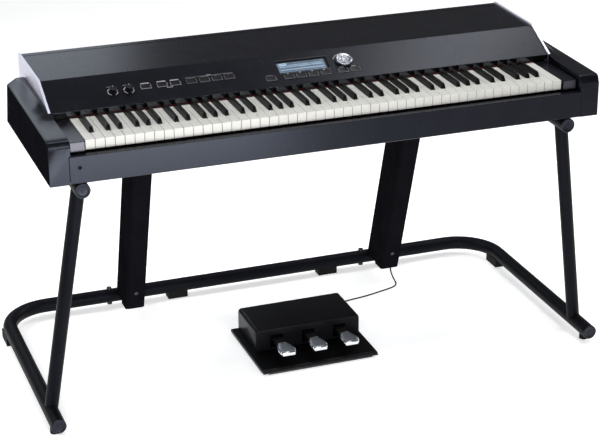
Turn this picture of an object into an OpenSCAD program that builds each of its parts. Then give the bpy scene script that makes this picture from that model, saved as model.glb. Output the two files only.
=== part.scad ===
// Digital stage piano on a tubular steel stand, with a three-pedal unit on the floor.
// Millimetres, +Z up, +Y towards the back. The origin is on the floor under the middle of the stand.

/* [Piano body] */
// Overall width of the piano
body_w = 1408; // [1380:1:1440]
// Depth from the front rail to the rear panel
body_d = 515; // [505:1:530]
// Height of the underside above the floor
body_z = 650; // [640:1:680]
// Width of each end block
block_w = 48; // [40:1:52]
// Depth of each end block
block_d = 485; // [460:1:500]
// Height of the end block's flat top at the front
block_h = 107; // [103:1:110]
// Height of the shoulder's ridge beside the lid
shoulder_h = 127; // [118:1:134]
// How far an end block's rear face leans forward at its top
rear_lean = 33; // [20:1:40]
// Height of the front rail's top edge
rail_h = 67; // [60:1:68]
// Thickness of the folded sheet covers
sheet = 2; // [1.5:0.5:3]

/* [Control panel] */
// Depth where the sloped panel starts
panel_y0 = 187; // [180:1:195]
// Height where the sloped panel starts
panel_z0 = 111; // [109:1:113]
// Depth of the fold between panel and lid
fold_y = 288; // [280:1:295]
// Height of the fold between panel and lid
fold_z = 160; // [156:1:162]
// Width of a push button
button_w = 26.6; // [24:0.1:28]
// Length of a push button up the slope
button_l = 17.4; // [14:0.1:18]
// Height of the left button row up the slope
row_high = 53.5; // [50:0.5:60]
// Height of the centre button row up the slope
row_low = 30; // [24:0.5:32]
// Centres of the buttons in the left row
high_x = [-408, -367, -334, -293, -260, -228, -196];
// Centres of the buttons in the centre row
low_x = [-95, -47.5, -15.5, 16.5, 48.5, 96, 128];
// Centres of the two knobs
knob_x = [-491, -451];
// Radius of a knob
knob_r = 9.5; // [8:0.5:10]
// Radius of the value dial
dial_r = 22; // [20:0.5:22]
// Width and length of the display window
display_size = [133, 41];

/* [Keys] */
// Width of one octave divided by seven
key_pitch = 23.5; // [23:0.1:23.6]
// Gap between neighbouring keys
key_gap = 1; // [0.8:0.1:1.2]
// Height of the white keys' tops above the underside
key_top = 95; // [94:0.5:96]
// Depth of the white keys' fronts
key_front = 26; // [25.5:0.5:30]
// Depth of the black keys' fronts
sharp_front = 72; // [68:1:76]
// Width of a black key
sharp_w = 10.5; // [9.5:0.1:11]
// Height of a black key above the white ones
sharp_h = 12; // [10:0.5:12.5]

/* [Stand] */
// Outer diameter of the bent tubes
tube_d = 38; // [35:0.5:40]
// Wall of the steel tubes
tube_wall = 1.8; // [1.5:0.1:2.5]
// Half distance between the floor tube's two sides
floor_x = 721; // [700:1:740]
// Depth of the floor tube's rear run
floor_y = 684; // [660:1:700]
// Height of the floor tube's centre line
floor_z = 33; // [31:1:36]
// Bend radius of the centre line
bend_r = 120; // [100:5:140]
// Half distance between the top frame's two sides
top_x = 627; // [610:1:635]
// Depth of the top frame's cross run
top_y = 436; // [430:1:440]
// Outer diameter of the front legs
leg_d = 34; // [30:0.5:36]
// Half distance between the two columns
column_x = 377.5; // [370:0.5:390]
// Width of a column's front
column_w = 52; // [46:1:54]
// Depth of a column, square to its lean
column_t = 112; // [105:1:116]
// Lean of the columns from upright
column_lean = 18; // [16:0.5:19]

/* [Pedal unit] */
// Sideways offset of the pedal unit
pedal_x = 10; // [-20:1:40]
// Distance between neighbouring pedals
pedal_pitch = 88; // [80:1:90]
// Width of the base plate
base_w = 320; // [300:1:340]
// Sideways offset of the base plate from the housing
base_shift = -6; // [-10:1:10]
// Width of the housing
housing_w = 292; // [260:1:300]
// Diameter of the pedal cable
cable_d = 4; // [3.5:0.1:4.5]

/* [Hidden] */

fine = 64;
small = 32;
front_y = -350;
half_w = body_w / 2;
inner_x = half_w - block_w - 0.5;
case_x = inner_x - 4.8;
plate_x = inner_x + 4.5;
plate_t = 5.6;
lid_x = plate_x - plate_t - 0.2;
panel_tilt = atan((fold_z - panel_z0) / (fold_y - panel_y0));
panel_len = norm([fold_y - panel_y0, fold_z - panel_z0]);
lid_end = 491;
seam = 4;
lid_z = fold_z + 2.3;
sheet_drop = sheet / cos(panel_tilt);
rebate_z = lid_z - 2 * sheet - 0.2;
lip_z = 101;
knob_u = 49;
dial_at = [108, 62];
display_at = [-1, 65.5];
button_play = 0.35;
shaft_play = 0.1;
knob_shaft_r = 3.5;
dial_shaft_r = 4.5;

// Sockets on the rear panel, and the headphone socket at the left of the front rail
jack_z = 45;
jack_x = [260, 300, 340];
jack_bore = 3.25;
pedal_socket_x = 380;
inlet_x = 560;
switch_x = 505;
switch_tilt = 7;
phone = [-632, 39];

// Keyboard: 52 white keys, the first one an A
white_count = 52;
first_letter = 5;
letters = 7;
keys_x0 = -white_count * key_pitch / 2;
sharp_after = [true, true, false, true, true, true, false];
sharp_shift = [-2.6, 2.6, 0, -3.6, 0, 3.6, 0];
slot_half = sharp_w / 2 + 1;
pivot = [238, 86];
pivot_r = 3;
pivot_fit = 0.05;
key_back = 246;
key_under = 77;
lip_under = 71;
sharp_end = 172;
keybed_z = 34;

tube_r = tube_d / 2;
bolt_x = [-column_x - column_w / 2 - 17, column_x - column_w / 2 - 17];
column_front = [565, 45];
column_wall = 3;
rib_t = 4.5;
rib_l = 42;
leg_foot = [719.7, 90.4, 33];
leg_top = [628.8, 50.2, 620];
top_z = body_z - tube_r - 3.5;
top_front = 11;
ear_y = 62;
clear = 0.1;

base_y = [128, 402];
base_top = 12;
housing_y = [247, 398];
housing_top = 73;
pedal_pivot = [372, 41];
pedal_rod_r = 4;
rod_post_x = 120;
arm_top = 49;
arm_half = 14;
tip_y = [148, 210];
tip_half = 23.5;

function letter(i) = (i + first_letter) % letters;
function has_sharp(i) = i >= 0 && i < white_count - 1 && sharp_after[letter(i)];

// ---------- helpers ----------
module in_body() translate([0, front_y, body_z]) children();
module on_floor() translate([0, front_y, 0]) children();
module on_panel(x = 0, u = 0)
    in_body() translate([0, panel_y0, panel_z0]) rotate([panel_tilt, 0, 0]) translate([x, u, 0]) children();
module both_sides() {
    children();
    mirror([1, 0, 0]) children();
}
// A box given by its two opposite corners
module block(a, b) translate(a) cube(b - a);
// An outline in depth and height, drawn out along the width
module prism(x0, x1, points)
    translate([x0, 0, 0]) rotate([90, 0, 90]) linear_extrude(x1 - x0) polygon(points);
// Round bars along each axis
module bar_x(r, x0, x1, y, z, fn = fine)
    translate([x0, y, z]) rotate([0, 90, 0]) cylinder(h = x1 - x0, r = r, $fn = fn);
module bar_y(r, x, y0, y1, z, fn = fine)
    translate([x, y0, z]) rotate([-90, 0, 0]) cylinder(h = y1 - y0, r = r, $fn = fn);
module bar_z(r, x, y, z0, z1, fn = fine) translate([x, y, z0]) cylinder(h = z1 - z0, r = r, $fn = fn);
module rod_between(a, b, r) {
    d = b - a;
    translate(a) rotate([0, acos(d.z / norm(d)), atan2(d.y, d.x)]) cylinder(h = norm(d), r = r, $fn = fine);
}
// A U of round tube: two runs to the front, two bends and a rear run
module u_tube(r, half, front, rear, z) {
    both_sides() {
        bar_y(r, half, front, rear - bend_r, z);
        translate([half - bend_r, rear - bend_r, z]) rotate_extrude(angle = 90, $fn = fine)
            translate([bend_r, 0]) circle(r, $fn = fine);
    }
    bar_x(r, bend_r - half, half - bend_r, rear, z);
}

// ---------- piano casework ----------
module at_case_screws() {
    both_sides() for (y = [60, 470]) translate([case_x - 30, y, 0]) children();
    for (x = [-200, 0, 200]) translate([x, 60, 0]) children();
}
module bottom_case() color([0.10, 0.10, 0.11]) in_body() difference() {
    union() {
        block([-case_x, 24.5, 0], [case_x, body_d - 4, sheet]);
        both_sides() block([case_x - sheet, 24.5, 0], [case_x, body_d - 4, 92]);
        for (x = [-200, 0, 200], y = [360, 470]) bar_z(4, x, y, sheet, 12, small);
    }
    at_case_screws() bar_z(2.2, 0, 0, -1, sheet + 1, small);
}

module end_block() difference() {
    union() {
        prism(inner_x + 0.5, half_w, [[0, 0], [0, 90], [2, 98], [7, 104], [15, block_h],
            [block_d - rear_lean - 3, block_h + 3], [block_d - rear_lean, block_h - 2], [block_d, 0]]);
        // Inner strip over the end of the rail and beside the key block
        prism(inner_x - 2.5, inner_x + 1, [[0, rail_h + 1], [0, 90], [2, 98], [7, 104], [15, block_h],
            [panel_y0 - 5.3, block_h + 1.1], [panel_y0 - 5.3, rail_h + 1]]);
        hull() {
            prism(inner_x + 0.5, inner_x + 12, [[panel_y0, block_h], [block_d - rear_lean - 2, block_h],
                [block_d - rear_lean - 7, shoulder_h], [panel_y0 + 30, shoulder_h - 6]]);
            prism(inner_x + 0.5, half_w - 3, [[panel_y0 - 14, block_h - 2],
                [block_d - rear_lean - 2, block_h - 2], [block_d - rear_lean - 5, block_h + 2.6]]);
        }
    }
    block([inner_x, 60, 4], [half_w - 4, block_d - rear_lean - 8, block_h - 12]);
    // Rebate for the side plate
    block([inner_x, panel_y0 - 5.3, 69.7], [plate_x + 0.3, body_d, shoulder_h + 1]);
}
module end_blocks() color([0.13, 0.13, 0.15]) in_body() both_sides() end_block();

module front_rail() color([0.15, 0.15, 0.17]) in_body() difference() {
    prism(-inner_x, inner_x, [[0, 2], [0, rail_h - 1], [1, rail_h], [17, rail_h], [18, rail_h - 1], [18, 58],
        [24, 58], [24, 0], [2, 0]]);
    block([-inner_x + 3, 3, 3], [inner_x - 3, 30, 55]);
    bar_y(5.6, phone.x, -1, 10, phone.y, small);
}

module top_lid() color([0.14, 0.14, 0.16]) in_body()
    prism(-lid_x, lid_x, [[fold_y + 0.3, fold_z], [lid_end, lid_z], [lid_end, lid_z - sheet],
        [fold_y + 0.3, fold_z - sheet]]);

module control_panel() color([0.09, 0.09, 0.11]) difference() {
    in_body() prism(-lid_x, lid_x, [[panel_y0, panel_z0], [panel_y0, lip_z], [panel_y0 + sheet, lip_z],
        [panel_y0 + sheet, panel_z0 + sheet * tan(panel_tilt) - sheet_drop], [fold_y, fold_z - sheet_drop],
        [fold_y, fold_z]]);
    for (x = high_x) on_panel(x, row_high) button_hole();
    for (x = low_x) on_panel(x, row_low) button_hole();
    for (x = knob_x) on_panel(x, knob_u) bar_z(knob_shaft_r + shaft_play, 0, 0, -9, 9, small);
    on_panel(dial_at.x, dial_at.y) bar_z(dial_shaft_r + shaft_play, 0, 0, -9, 9, small);
    on_panel(display_at.x, display_at.y) through_plate(display_size.x, display_size.y);
    in_body() block([-640.2, panel_y0 - 1, 97], [-623.8, panel_y0 + 3, 107.2]);
}
module through_plate(w, l) block([-w / 2, -l / 2, -9], [w / 2, l / 2, 9]);
module button_hole() through_plate(button_w + 2 * button_play, button_l + 2 * button_play);

module side_plate() prism(plate_x - plate_t, plate_x, [[panel_y0 - 5, 70], [panel_y0 - 5, panel_z0 + 1],
    [fold_y, fold_z + 3.4], [body_d - 1, lid_z + 3.4], [body_d - 1, 70]]);
module side_plates() color([0.80, 0.80, 0.86]) in_body() both_sides() side_plate();

module key_blocks() color([0.12, 0.12, 0.14]) in_body() both_sides()
    block([-keys_x0 + 2.5, 20, 70], [case_x - sheet - 0.3, panel_y0 - 6, key_top]);

module key_felt() color([0.40, 0.05, 0.07]) in_body()
    block([keys_x0 + 1, 175, 96.8], [-keys_x0 - 1, panel_y0 - 0.5, 101]);

module key_frame() color([0.55, 0.56, 0.58]) in_body() {
    difference() {
        union() {
            block([keys_x0 - 8, 34, keybed_z], [-keys_x0 + 8, 262, keybed_z + 3]);
            both_sides() block([-keys_x0 + 2, 226, keybed_z + 3], [-keys_x0 + 8, 252, 97]);
            block([keys_x0 + 2, 44, keybed_z + 3], [-keys_x0 - 2, 58, 60]);
        }
        bar_x(pivot_r + 0.02, keys_x0 - 9, -keys_x0 + 9, pivot.x, pivot.y);
    }
    for (x = [-560, -280, 0, 280, 560], y = [50, 240]) bar_z(7, x, y, sheet, keybed_z, small);
}

module pivot_rods() color([0.70, 0.71, 0.73]) {
    in_body() bar_x(pivot_r, keys_x0 - 9, -keys_x0 + 9, pivot.x, pivot.y);
    on_floor() bar_x(pedal_rod_r, pedal_x - 125, pedal_x + 125, pedal_pivot.x, pedal_pivot.y);
}

module display_module() color([0.35, 0.48, 0.60]) on_panel(display_at.x, display_at.y) {
    half = display_size / 2;
    block([-half.x - 5, -half.y - 2, -12], [half.x + 5, half.y + 3, -3.4]);
    block([-half.x + 0.5, -half.y + 0.5, -3.4], [half.x - 0.5, half.y - 0.5, -2]);
}

module circuit_boards() color([0.08, 0.30, 0.16]) {
    on_panel(-175, 46) block([-345, -36, -16], [345, 36, -14.4]);
    in_body() {
        block([-240, 330, 12], [240, 500, 13.6]);
        for (x = [-170, -60, 60, 150]) block([x, 390, 13.6], [x + 34, 424, 17]);
    }
}

module power_supply() color([0.60, 0.61, 0.63]) in_body() block([330, 300, sheet], [540, 420, 48]);

module rear_panel() color([0.11, 0.11, 0.12]) in_body() difference() {
    prism(-lid_x, lid_x, [[lid_end - 6, rebate_z], [lid_end - 6, rebate_z + sheet],
        [lid_end + seam, rebate_z + sheet], [lid_end + seam, lid_z - 0.4], [body_d, lid_z - 0.4],
        [body_d, 0], [body_d - sheet, 0], [body_d - sheet, rebate_z]]);
    for (x = jack_x) bar_y(6.1, x, lid_end + 10, body_d + 1, jack_z, small);
    bar_y(8.1, pedal_socket_x, lid_end + 10, body_d + 1, jack_z, small);
    block([inlet_x - 14.1, body_d - 9, jack_z - 10.1], [inlet_x + 14.1, body_d + 1, jack_z + 10.1]);
    block([switch_x - 11, body_d - 9, jack_z - 8], [switch_x + 11, body_d + 1, jack_z + 8]);
}

// A quarter-inch socket whose mouth is at y = 0 and whose body lies in front of it
module phone_socket(depth) difference() {
    union() {
        bar_y(5.5, 0, -depth, 1.2, 0, small);
        block([-7, -depth - 4, -7], [7, -sheet - 0.2, 7]);
    }
    bar_y(jack_bore, 0, -depth, 2, 0, small);
}
module jack_sockets() color([0.20, 0.20, 0.21]) in_body() {
    for (x = jack_x) translate([x, body_d, jack_z]) phone_socket(20);
    translate([phone.x, 0.8, phone.y]) mirror([0, 1, 0]) phone_socket(30);
    // Round socket for the pedal unit
    translate([pedal_socket_x, body_d, jack_z]) difference() {
        union() {
            bar_y(8, 0, -sheet - 1, 1, 0, small);
            block([-10, -20, -10], [10, -sheet - 0.2, 10]);
        }
        bar_y(6.6, 0, -12, 2, 0, small);
    }
    // Mains inlet
    translate([inlet_x, body_d, jack_z]) difference() {
        block([-14, -28, -10], [14, 1, 10]);
        block([-11.5, -16, -7.5], [11.5, 2, 7.5]);
    }
    // Memory port above the left key block
    difference() {
        union() {
            block([-646, panel_y0 - 4, key_top + 1], [-618, panel_y0 - 0.2, 109]);
            block([-640, panel_y0 - 0.2, 97.5], [-624, panel_y0 + 16, 107]);
        }
        block([-638.5, panel_y0 - 5, 99.5], [-625.5, panel_y0 + 13, 104.5]);
    }
}

module screws_and_bolts() color([0.45, 0.45, 0.47]) {
    in_body() at_case_screws() {
        bar_z(4, 0, 0, -1.8, 0, small);
        bar_z(2, 0, 0, 0, 8, small);
    }
    on_floor() {
        // Vertical bolts through the floor tube beside each column
        for (x = bolt_x) {
            bar_z(4, x, floor_y, 8, 57, small);
            bar_z(7, x, floor_y, floor_z + tube_r + 0.2, 58, small);
            bar_z(7, x, floor_y, 8, floor_z - tube_r - 0.2, small);
        }
        // Bolts down through the top frame into each column
        both_sides() {
            bar_z(4, column_x, top_y, top_z - tube_r - 25, top_z + tube_r, small);
            bar_z(7, column_x, top_y, top_z + tube_r + 0.1, body_z - 0.4, small);
        }
        // Front screw of each column
        for (x = [-column_x, column_x]) leaning(x) bar_y(5.5, 0, -3.2, -0.1, 50, small);
        // Bright bolts that hold the piano at the front of the top frame
        both_sides() {
            bar_z(5, top_x + 27, ear_y, top_z + 8, top_z + 13, small);
            bar_z(3, top_x + 27, ear_y, top_z + 13, body_z - 0.3, small);
        }
    }
}

module power_switch() color([0.05, 0.05, 0.05]) in_body()
    translate([switch_x, body_d - sheet / 2, jack_z]) rotate([-switch_tilt, 0, 0]) difference() {
        block([-10, -9, -6.9], [10, 4, 6.9]);
        translate([0, 12.5, 0]) rotate([0, 90, 0]) cylinder(h = 30, r = 10, center = true, $fn = fine);
    }

// ---------- keys ----------
module key_bore(x0, x1) bar_x(pivot_r + pivot_fit, x0, x1, pivot.x, pivot.y, small);
module white_key(i) {
    x0 = keys_x0 + i * key_pitch;
    left = has_sharp(i - 1) ? slot_half + sharp_shift[letter(i - 1)] : 0;
    right = has_sharp(i) ? slot_half - sharp_shift[letter(i)] : 0;
    difference() {
        prism(x0 + key_gap / 2, x0 + key_pitch - key_gap / 2, [[key_front, lip_under],
            [key_front, key_top - 0.6], [key_front + 0.6, key_top], [key_back, key_top],
            [key_back, key_under], [key_front + 6, key_under],
            [key_front + 6, lip_under]]);
        if (left > 0) block([x0 - 1, sharp_front - 1.5, 0], [x0 + left, 300, 200]);
        if (right > 0) block([x0 + key_pitch - right, sharp_front - 1.5, 0], [x0 + key_pitch + 1, 300, 200]);
        key_bore(x0 - 1, x0 + key_pitch + 1);
    }
}
module sharp_key(i) {
    x = keys_x0 + (i + 1) * key_pitch + sharp_shift[letter(i)];
    top = key_top + sharp_h;
    difference() {
        prism(x - sharp_w / 2, x + sharp_w / 2, [[sharp_front, key_under], [sharp_front, key_top],
            [sharp_front + 5, top - 1.5], [sharp_front + 7, top], [sharp_end, top], [sharp_end, key_top],
            [key_back, key_top], [key_back, key_under]]);
        key_bore(x - 10, x + 10);
    }
}
module whites(n) color([0.93, 0.92, 0.87]) in_body()
    for (i = [0 : white_count - 1]) if (letter(i) == n) white_key(i);
module sharps(n) color([0.06, 0.06, 0.07]) in_body()
    for (i = [0 : white_count - 2]) if (letter(i) == n && has_sharp(i)) sharp_key(i);

// ---------- controls ----------
module button(x, u) color([0.05, 0.05, 0.06]) on_panel(x, u) {
    block([-button_w / 2, -button_l / 2, -2.4], [button_w / 2, button_l / 2, 1.4]);
    block([-button_w / 2 - 1.2, -button_l / 2 - 1.2, -3.8], [button_w / 2 + 1.2, button_l / 2 + 1.2, -2.4]);
    bar_z(3, 0, 0, -13.2, -3.8, small);
}
module knob(x) color([0.05, 0.05, 0.06]) on_panel(x, knob_u) {
    bar_z(knob_r, 0, 0, 0.6, 13, fine);
    bar_z(knob_shaft_r, 0, 0, -13, 0.6, small);
}
module value_dial() color([0.72, 0.73, 0.78]) on_panel(dial_at.x, dial_at.y) {
    difference() {
        bar_z(dial_r, 0, 0, 0.6, 9, fine);
        translate([0, 0, 48]) sphere(r = 41, $fn = fine);
        translate([11, 6, 9.5]) sphere(r = 5.5, $fn = small);
    }
    bar_z(dial_shaft_r, 0, 0, -13, 0.6, small);
}

// ---------- stand ----------
module floor_frame() color([0.07, 0.07, 0.08]) on_floor() difference() {
    u_tube(tube_r, floor_x, 0, floor_y, floor_z);
    u_tube(tube_r - tube_wall, floor_x, -1, floor_y, floor_z);
    for (x = bolt_x) bar_z(4.1, x, floor_y, 5, 60, small);
}

module top_frame() color([0.07, 0.07, 0.08]) on_floor() {
    difference() {
        u_tube(tube_r, top_x, top_front, top_y, top_z);
        u_tube(tube_r - tube_wall, top_x, top_front - 1, top_y, top_z);
        both_sides() bar_z(4.1, column_x, top_y, top_z - 30, top_z + 30, small);
    }
    both_sides() difference() {
        translate([0, 0, top_z + 11]) linear_extrude(4)
            polygon([[top_x - 62, 52], [top_x - 12, 52], [top_x - 12, 129]]);
        bar_y(tube_r + clear, top_x, 0, 150, top_z);
    }
    both_sides() difference() {
        block([top_x + 12, ear_y - 14, top_z + 13], [top_x + 34, ear_y + 26, top_z + 17]);
        bar_y(tube_r + clear, top_x, 0, 150, top_z);
        bar_z(3.1, top_x + 27, ear_y, top_z, top_z + 40, small);
    }
}

module column_profile(grow) {
    translate([-column_w / 2 + rib_t - grow, -grow])
        square([column_w - 2 * rib_t + 2 * grow, column_t + 2 * grow]);
    if (grow == 0) translate([-column_w / 2, 2]) square([column_w, rib_l]);
}
module column(x) color([0.09, 0.10, 0.11]) on_floor() {
    crown = top_z - tube_r - clear;
    difference() {
        leaning(x) translate([0, 0, -80]) linear_extrude(750) column_profile(0);
        leaning(x) translate([0, 0, -90]) linear_extrude(770) column_profile(-column_wall);
        block([x - 60, 200, -100], [x + 60, 900, 38]);
        block([x - 60, 200, crown], [x + 60, 900, 900]);
        bar_x(tube_r + clear, x - 60, x + 60, floor_y, floor_z);
    }
    // Plate under the top frame, open towards the back for the cable
    difference() {
        block([x - column_w / 2 + rib_t, top_y - 21, crown - 4],
            [x + column_w / 2 - rib_t, top_y + 22, crown]);
        bar_z(4.2, x, top_y, crown - 5, crown + 1, small);
    }
}
module leaning(x) translate([x, column_front.x, column_front.y]) rotate([column_lean, 0, 0]) children();

module front_leg() difference() {
    rod_between(leg_foot, leg_top, leg_d / 2);
    rod_between(leg_foot - [0, 0, 1], leg_top + [0, 0, 1], leg_d / 2 - tube_wall);
    bar_y(tube_r + clear, floor_x, 0, 200, floor_z);
    bar_y(tube_r + clear, top_x, 0, 200, top_z);
    block([top_x - 60, 0, top_z - 2], [top_x + 60, 200, 700]);
    block([floor_x - 60, 0, 0], [floor_x + 60, 200, floor_z]);
}
module front_legs() color([0.07, 0.07, 0.08]) on_floor() both_sides() front_leg();

module tube_cap(x, y, z) {
    bar_y(tube_r, x, y - 3, y - 0.05, z);
    bar_y(tube_r - tube_wall - 0.2, x, y - 0.05, y + 16, z);
}
module tube_caps() color([0.12, 0.12, 0.13]) on_floor() both_sides() {
    tube_cap(floor_x, 0, floor_z);
    tube_cap(top_x, top_front, top_z);
}

module rubber_pads() color([0.06, 0.06, 0.06]) on_floor() both_sides() {
    difference() {
        union() {
            block([226 - 28, 668, 0], [226 + 28, 700, 25]);
            block([floor_x - 19, 537, 0], [floor_x + tube_r, 600, 25]);
        }
        u_tube(tube_r + clear, floor_x, 0, floor_y, floor_z);
    }
    bar_z(12, floor_x + 3, 36, 0, floor_z - tube_r - clear, small);
    for (y = [90, 250]) difference() {
        block([top_x - 12, y, top_z + 14], [top_x + 12, y + 60, body_z - 0.1]);
        bar_y(tube_r + clear, top_x, 0, 400, top_z);
    }
}

// ---------- pedal unit ----------
module pedal_base() color([0.06, 0.06, 0.07]) on_floor() translate([pedal_x, 0, 0]) {
    translate([base_shift, 0, 0]) {
        difference() {
            block([-base_w / 2, base_y.x, 3], [base_w / 2, base_y.y, base_top]);
            block([-base_w / 2 + 3, base_y.x + 14, 2], [base_w / 2 - 3, base_y.y - 3, 8]);
        }
        bar_x(5, -base_w / 2 + 16, base_w / 2 - 16, base_y.x + 7, 5);
        for (x = [-135, 135], y = [170, 380]) bar_z(9, x, y, 0, 8, small);
    }
    both_sides() difference() {
        block([rod_post_x, pedal_pivot.x - 12, base_top], [rod_post_x + 5, pedal_pivot.x + 12, 56]);
        bar_x(pedal_rod_r + 0.02, 0, 200, pedal_pivot.x, pedal_pivot.y, small);
    }
}

module pedal_housing() color([0.05, 0.05, 0.06]) on_floor() translate([pedal_x, 0, 0]) {
    bar_y(5, gland.x - pedal_x, housing_y.y - 1, gland.y, gland.z, small);
    housing_shell();
}
module housing_shell() difference() {
    prism(-housing_w / 2, housing_w / 2, [[housing_y.x, base_top], [housing_y.x, housing_top - 5],
        [housing_y.x + 2, housing_top - 2], [housing_y.x + 5, housing_top],
        [housing_y.y - 5, housing_top], [housing_y.y - 2, housing_top - 2],
        [housing_y.y, housing_top - 5], [housing_y.y, base_top]]);
    block([-housing_w / 2 + 3, housing_y.x + 3, 0], [housing_w / 2 - 3, housing_y.y - 3, housing_top - 4]);
    for (k = [-1, 0, 1])
        block([k * pedal_pitch - 17, housing_y.x - 5, 18], [k * pedal_pitch + 17, housing_y.x + 10, 53]);
}

module pedal(k) color([0.75, 0.76, 0.80]) on_floor()
    translate([pedal_x + k * pedal_pitch, 0, 0]) difference() {
        union() {
            block([-arm_half, tip_y.y - 14, arm_top - 14], [arm_half, pedal_pivot.x + 14, arm_top - 2]);
            translate([0, 0, arm_top - 13]) linear_extrude(12.5) tip_outline();
        }
        bar_x(pedal_rod_r + 0.06, -30, 30, pedal_pivot.x, pedal_pivot.y, small);
    }
module tip_outline() polygon([[-19, tip_y.x], [19, tip_y.x], [tip_half, tip_y.x + 6],
    [tip_half, tip_y.x + 26], [19, tip_y.x + 44], [11, tip_y.y], [-11, tip_y.y], [-19, tip_y.x + 44],
    [-tip_half, tip_y.x + 26], [-tip_half, tip_y.x + 6]]);

// Route of the pedal cable: along the floor, up inside the right column and over to the rear panel
gland = [125, 401, 22];
route = [gland, [125, 412, 21], [127, 426, 16], [132, 440, 9], [142, 452, 4], [156, 460, 2.2],
    [175, 466, 2.2], [203, 474, 2.2], [232, 480, 2.2], [260, 484, 2.2], [290, 491, 2.2], [321, 500, 2.2],
    [348, 508, 2.2], [368, 516, 2.2], [380, 526, 2.2], [386, 538, 2.6], [387, 551, 5], [386, 563, 12],
    [384, 571, 24], [382, 573, 42], [380, 570, 66],
    [380, 563, 100], [380, 552, 150], [380, 540, 200], [380, 525, 300], [380, 510, 400], [380, 497, 500],
    [380, 487, 560], [380, 482, 594], [380, 481, 612], [380, 487, 626], [380, 502, 634], [380, 524, 637],
    [380, 546, 640], [380, 564, 649], [380, 575, 664], [380, 577, 680], [380, 570, 692], [380, 558, 695],
    [380, 546, 695]];
route_steps = 2;
cable_sides = 8;
function spline(a, b, c, d, t) = 0.5 * (2 * b + (c - a) * t + (2 * a - 5 * b + 4 * c - d) * t * t
    + (3 * b - a - 3 * c + d) * t * t * t);
function route_at(i) = route[max(0, min(len(route) - 1, i))];
path = concat([for (i = [0 : len(route) - 2], s = [0 : route_steps - 1])
    spline(route_at(i - 1), route_at(i), route_at(i + 1), route_at(i + 2), s / route_steps)],
    [route_at(len(route) - 1)]);
function unit(v) = v / norm(v);
function along(i) = unit(path[min(len(path) - 1, i + 1)] - path[max(0, i - 1)]);
side_hint = [1, 1, 1];
function ring(i) = let(t = along(i), u = unit(cross(t, side_hint)), v = cross(t, u))
    [for (k = [0 : cable_sides - 1])
        let(a = k * 360 / cable_sides) path[i] + cable_d / 2 * (cos(a) * u + sin(a) * v)];
module pedal_cable() color([0.05, 0.05, 0.05]) on_floor() {
    n = len(path);
    m = cable_sides;
    points = [for (i = [0 : n - 1], p = ring(i)) p];
    faces = concat([[for (k = [0 : m - 1]) k]], [for (i = [0 : n - 2], k = [0 : m - 1])
        [i * m + k, (i + 1) * m + k, (i + 1) * m + (k + 1) % m, i * m + (k + 1) % m]],
        [[for (k = [m - 1 : -1 : 0]) (n - 1) * m + k]]);
    polyhedron(points, faces);
}
module pedal_plug() color([0.08, 0.08, 0.08]) in_body() {
    bar_y(7.5, pedal_socket_x, body_d + 1.2, body_d + 24, jack_z, small);
    bar_y(6.5, pedal_socket_x, body_d - 9, body_d + 1.2, jack_z, small);
    bar_y(3.6, pedal_socket_x, body_d + 24, body_d + 31, jack_z, small);
}

bottom_case();
end_blocks();
front_rail();
top_lid();
control_panel();
side_plates();
key_blocks();
key_felt();
key_frame();
pivot_rods();
display_module();
circuit_boards();
power_supply();
rear_panel();
jack_sockets();
screws_and_bolts();
power_switch();
whites(0);  // keys_c
whites(1);  // keys_d
whites(2);  // keys_e
whites(3);  // keys_f
whites(4);  // keys_g
whites(5);  // keys_a
whites(6);  // keys_b
sharps(0);  // keys_c_sharp
sharps(1);  // keys_d_sharp
sharps(3);  // keys_f_sharp
sharps(4);  // keys_g_sharp
sharps(5);  // keys_a_sharp
button(high_x[0], row_high);  // button_1
button(high_x[1], row_high);  // button_2
button(high_x[2], row_high);  // button_3
button(high_x[3], row_high);  // button_4
button(high_x[4], row_high);  // button_5
button(high_x[5], row_high);  // button_6
button(high_x[6], row_high);  // button_7
button(low_x[0], row_low);  // button_8
button(low_x[1], row_low);  // button_9
button(low_x[2], row_low);  // button_10
button(low_x[3], row_low);  // button_11
button(low_x[4], row_low);  // button_12
button(low_x[5], row_low);  // button_13
button(low_x[6], row_low);  // button_14
knob(knob_x[0]);  // knob_left
knob(knob_x[1]);  // knob_right
value_dial();
floor_frame();
top_frame();
column(-column_x);  // left_column
column(column_x);  // right_column
front_legs();
tube_caps();
rubber_pads();
pedal_base();
pedal_housing();
pedal(-1);  // pedal_left
pedal(0);  // pedal_middle
pedal(1);  // pedal_right
pedal_cable();
pedal_plug();
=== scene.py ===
"""Looks of a digital piano on a tubular stand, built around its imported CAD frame. Metres, row frame."""
import math
import random

import bmesh
import bpy
from mathutils import Matrix, Vector


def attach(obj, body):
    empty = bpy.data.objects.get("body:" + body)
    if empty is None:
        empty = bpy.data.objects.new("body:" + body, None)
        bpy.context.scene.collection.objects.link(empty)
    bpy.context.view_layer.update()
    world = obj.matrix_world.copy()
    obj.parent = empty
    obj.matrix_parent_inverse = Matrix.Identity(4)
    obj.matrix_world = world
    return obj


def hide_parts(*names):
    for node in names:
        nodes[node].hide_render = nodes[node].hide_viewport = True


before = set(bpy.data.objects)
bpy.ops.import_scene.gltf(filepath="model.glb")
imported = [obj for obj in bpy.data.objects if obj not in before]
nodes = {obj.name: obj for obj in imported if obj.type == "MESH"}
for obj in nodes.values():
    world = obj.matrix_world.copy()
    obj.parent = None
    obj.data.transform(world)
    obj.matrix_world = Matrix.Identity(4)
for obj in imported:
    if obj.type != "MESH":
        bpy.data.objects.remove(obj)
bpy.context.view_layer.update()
ROOT = "piano_and_stand"
MM = 0.001

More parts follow.
